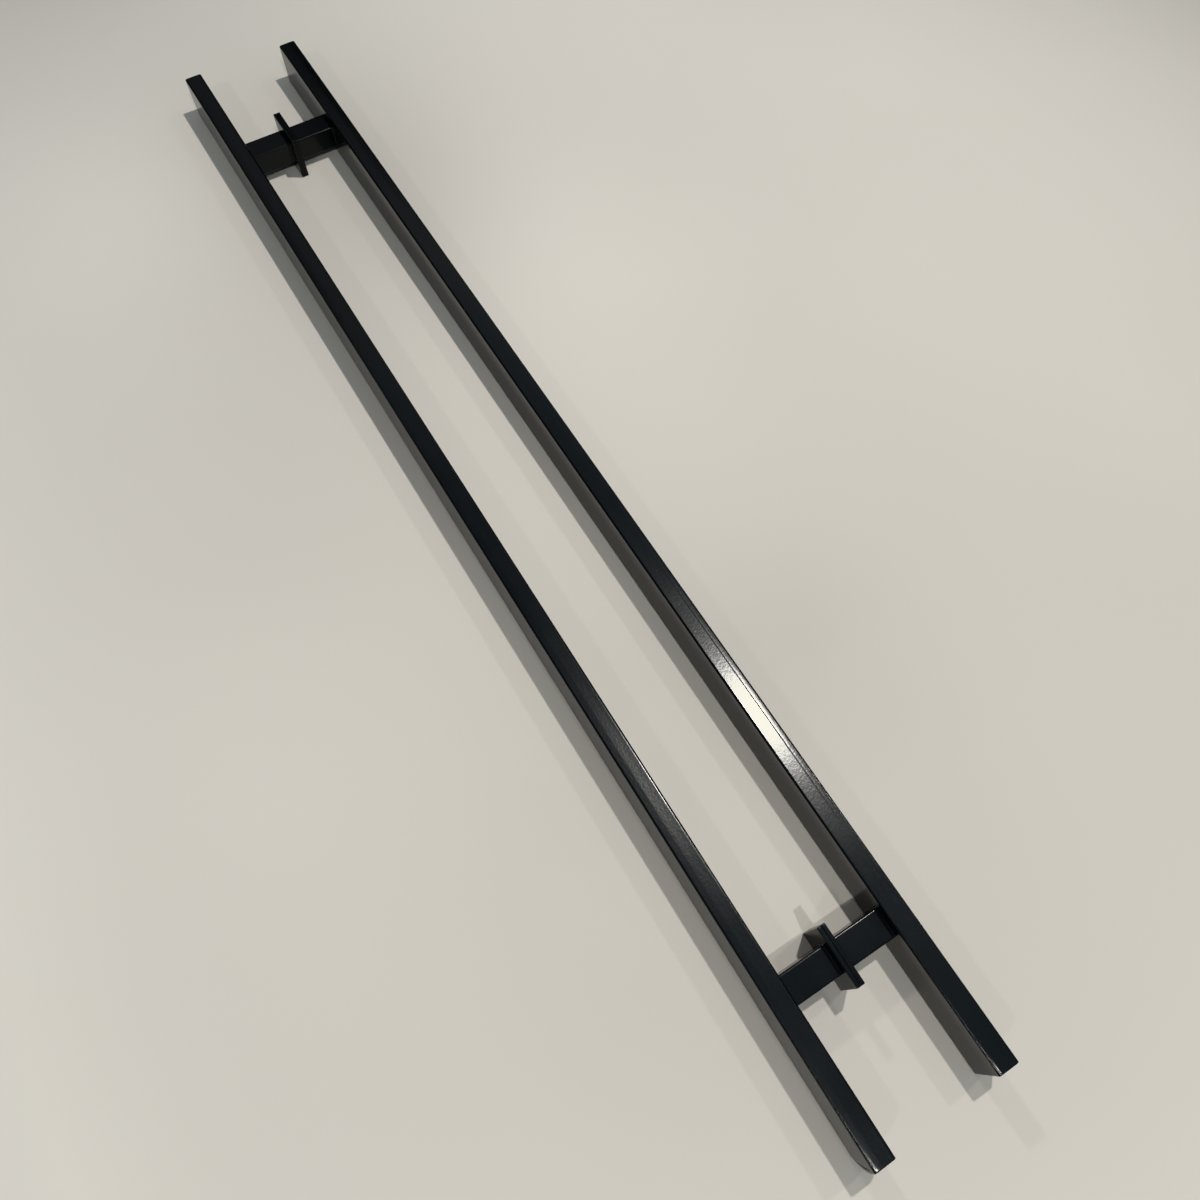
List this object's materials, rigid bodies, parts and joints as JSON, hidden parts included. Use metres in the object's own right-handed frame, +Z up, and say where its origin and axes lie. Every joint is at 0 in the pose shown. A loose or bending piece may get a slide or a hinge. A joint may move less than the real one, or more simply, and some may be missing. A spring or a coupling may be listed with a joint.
{
  "type": "pull handle",
  "caption": "Long flat rectangular door pulls in satin black, joined back to back by square posts with thin mounting plates face to face.",
  "frame": {"origin": "middle of the footprint, on the surface that the pair lies on", "axes": "+X along the bars towards the foot end, +Y from the left handle to the right handle, square to the door, +Z up from the surface, across the broad side of the bars"},
  "size_m": [1, 0.106, 0.038],
  "materials": {
    "bar_coat": "satin black powder coat on steel tube",
    "post_coat": "satin black powder coat on square steel tube",
    "plate_coat": "satin black powder coat on flat steel",
    "plug_steel": "turned and drilled bare steel",
    "stud_zinc": "zinc plated threaded rod",
    "grub_black": "black oxide socket set screw"
  },
  "bodies": {
    "root": {"left_bar_tube": "bar_coat", "right_bar_tube": "bar_coat", "left_cap_head": "bar_coat", "left_cap_foot": "bar_coat", "right_cap_head": "bar_coat", "right_cap_foot": "bar_coat", "left_post_head": "post_coat", "left_post_foot": "post_coat", "right_post_head": "post_coat", "right_post_foot": "post_coat", "left_plate_head": "plate_coat", "left_plate_foot": "plate_coat", "right_plate_head": "plate_coat", "right_plate_foot": "plate_coat", "left_tapped_plug_head": "plug_steel", "left_tapped_plug_foot": "plug_steel", "right_reamed_plug_head": "plug_steel", "right_reamed_plug_foot": "plug_steel", "stud_head": "stud_zinc", "stud_foot": "stud_zinc", "grub_screw_head": "grub_black", "grub_screw_foot": "grub_black"}
  },
  "joints": []
}
